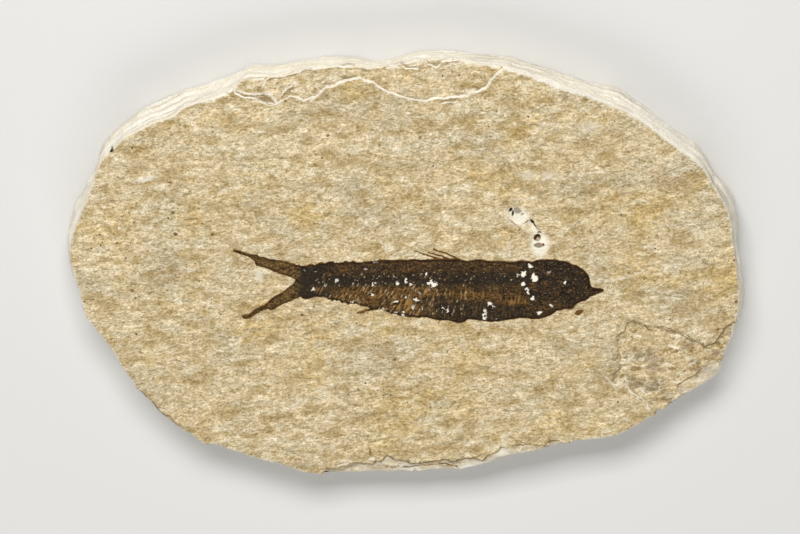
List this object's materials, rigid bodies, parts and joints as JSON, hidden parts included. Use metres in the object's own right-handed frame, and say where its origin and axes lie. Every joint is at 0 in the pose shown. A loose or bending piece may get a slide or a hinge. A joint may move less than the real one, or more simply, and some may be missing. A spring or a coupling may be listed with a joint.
{
  "type": "fossil fish slab",
  "caption": "Oval broken slab of pale split limestone with a small dark fossil fish standing in low relief on its face; lies flat on its back.",
  "frame": {"origin": "middle of the slab's flat back, at the centre of the object's footprint", "axes": "+Z out of the face that carries the fish, +X along the slab from the fish's tail to its snout, +Y from the fish's belly to its back"},
  "size_m": [0.1366, 0.0876, 0.0111],
  "materials": {
    "split_limestone": "matte",
    "fossil_bone": "matte"
  },
  "bodies": {
    "root": {"limestone_slab": "split_limestone", "fossil_fish": "fossil_bone"}
  },
  "joints": []
}
